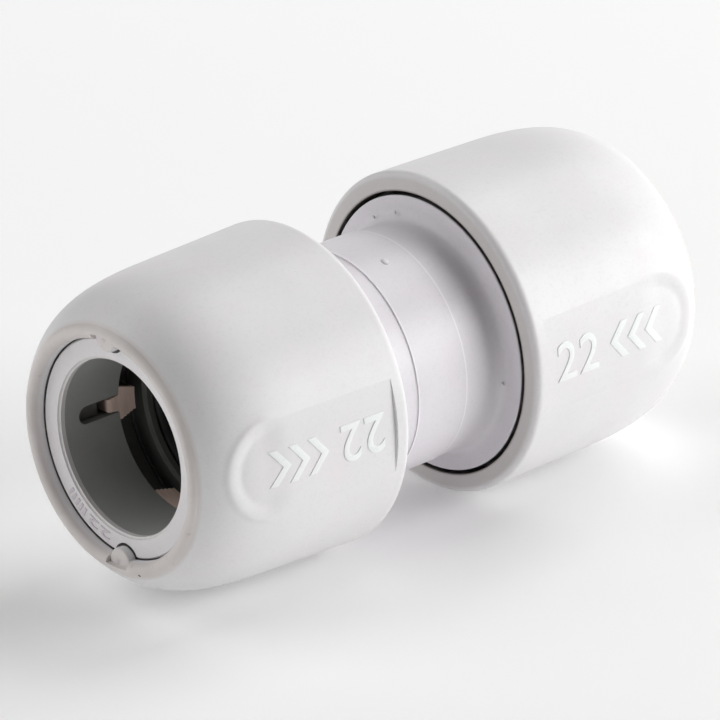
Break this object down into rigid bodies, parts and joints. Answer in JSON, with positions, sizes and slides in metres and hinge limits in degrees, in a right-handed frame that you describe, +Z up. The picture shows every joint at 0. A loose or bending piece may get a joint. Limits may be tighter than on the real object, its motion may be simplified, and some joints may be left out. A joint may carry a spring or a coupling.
{
  "type": "push-fit pipe coupler",
  "caption": "Straight push-fit plumbing coupler: a waisted plastic body with a domed cap at each end, a release collar in each mouth and toothed grab wedges that grip the pipe.",
  "frame": {"origin": "centre of the coupler, midway between its two mouths on the bore axis", "axes": "+X along the bore towards the right-hand mouth, -Y towards one pair of marking pads, +Z up"},
  "size_m": [0.0808, 0.0408, 0.0408],
  "materials": {
    "body_plastic": "satin moulded, pale lavender grey",
    "cap_plastic": "satin moulded, white grey with warm grey lip",
    "collar_plastic": "satin moulded, white",
    "carrier_plastic": "satin moulded, mid grey",
    "wedge_plastic": "satin moulded, cream",
    "washer_plastic": "satin moulded, dark grey",
    "seal_rubber": "matt black rubber"
  },
  "bodies": {
    "coupler": {"body": "body_plastic", "left_cap": "cap_plastic", "left_seal_washer": "washer_plastic", "left_o_ring": "seal_rubber", "right_cap": "cap_plastic", "right_seal_washer": "washer_plastic", "right_o_ring": "seal_rubber"},
    "left_release": {"left_release_collar": "collar_plastic", "left_wedge_carrier": "carrier_plastic"},
    "left_wedge_1": {"left_grab_wedge_1": "wedge_plastic"},
    "left_wedge_2": {"left_grab_wedge_2": "wedge_plastic"},
    "left_wedge_3": {"left_grab_wedge_3": "wedge_plastic"},
    "left_wedge_4": {"left_grab_wedge_4": "wedge_plastic"},
    "left_wedge_5": {"left_grab_wedge_5": "wedge_plastic"},
    "right_release": {"right_release_collar": "collar_plastic", "right_wedge_carrier": "carrier_plastic"},
    "right_wedge_1": {"right_grab_wedge_1": "wedge_plastic"},
    "right_wedge_2": {"right_grab_wedge_2": "wedge_plastic"},
    "right_wedge_3": {"right_grab_wedge_3": "wedge_plastic"},
    "right_wedge_4": {"right_grab_wedge_4": "wedge_plastic"},
    "right_wedge_5": {"right_grab_wedge_5": "wedge_plastic"}
  },
  "joints": [
    {"name": "left_release_push", "type": "slide", "parent": "coupler", "child": "left_release", "axis": [1, 0, 0], "range_m": [0, 0.0015]},
    {"name": "left_wedge_1_slide", "type": "slide", "parent": "coupler", "child": "left_wedge_1", "axis": [0.9781, 0.2079, 0], "range_m": [0, 0.00153]},
    {"name": "left_wedge_2_slide", "type": "slide", "parent": "coupler", "child": "left_wedge_2", "axis": [0.9781, 0.0642, -0.1977], "range_m": [0, 0.00153]},
    {"name": "left_wedge_3_slide", "type": "slide", "parent": "coupler", "child": "left_wedge_3", "axis": [0.9781, -0.1682, -0.1222], "range_m": [0, 0.00153]},
    {"name": "left_wedge_4_slide", "type": "slide", "parent": "coupler", "child": "left_wedge_4", "axis": [0.9781, -0.1682, 0.1222], "range_m": [0, 0.00153]},
    {"name": "left_wedge_5_slide", "type": "slide", "parent": "coupler", "child": "left_wedge_5", "axis": [0.9781, 0.0642, 0.1977], "range_m": [0, 0.00153]},
    {"name": "right_release_push", "type": "slide", "parent": "coupler", "child": "right_release", "axis": [-1, 0, 0], "range_m": [0, 0.0015]},
    {"name": "right_wedge_1_slide", "type": "slide", "parent": "coupler", "child": "right_wedge_1", "axis": [-0.9781, 0.2079, 0], "range_m": [0, 0.00153]},
    {"name": "right_wedge_2_slide", "type": "slide", "parent": "coupler", "child": "right_wedge_2", "axis": [-0.9781, 0.0642, 0.1977], "range_m": [0, 0.00153]},
    {"name": "right_wedge_3_slide", "type": "slide", "parent": "coupler", "child": "right_wedge_3", "axis": [-0.9781, -0.1682, 0.1222], "range_m": [0, 0.00153]},
    {"name": "right_wedge_4_slide", "type": "slide", "parent": "coupler", "child": "right_wedge_4", "axis": [-0.9781, -0.1682, -0.1222], "range_m": [0, 0.00153]},
    {"name": "right_wedge_5_slide", "type": "slide", "parent": "coupler", "child": "right_wedge_5", "axis": [-0.9781, 0.0642, -0.1977], "range_m": [0, 0.00153]}
  ],
  "couplings": [
    {"joint": "left_wedge_1_slide", "follows": "left_release_push", "ratio": 1.0223},
    {"joint": "left_wedge_2_slide", "follows": "left_release_push", "ratio": 1.0223},
    {"joint": "left_wedge_3_slide", "follows": "left_release_push", "ratio": 1.0223},
    {"joint": "left_wedge_4_slide", "follows": "left_release_push", "ratio": 1.0223},
    {"joint": "left_wedge_5_slide", "follows": "left_release_push", "ratio": 1.0223},
    {"joint": "right_wedge_1_slide", "follows": "right_release_push", "ratio": 1.0223},
    {"joint": "right_wedge_2_slide", "follows": "right_release_push", "ratio": 1.0223},
    {"joint": "right_wedge_3_slide", "follows": "right_release_push", "ratio": 1.0223},
    {"joint": "right_wedge_4_slide", "follows": "right_release_push", "ratio": 1.0223},
    {"joint": "right_wedge_5_slide", "follows": "right_release_push", "ratio": 1.0223}
  ]
}
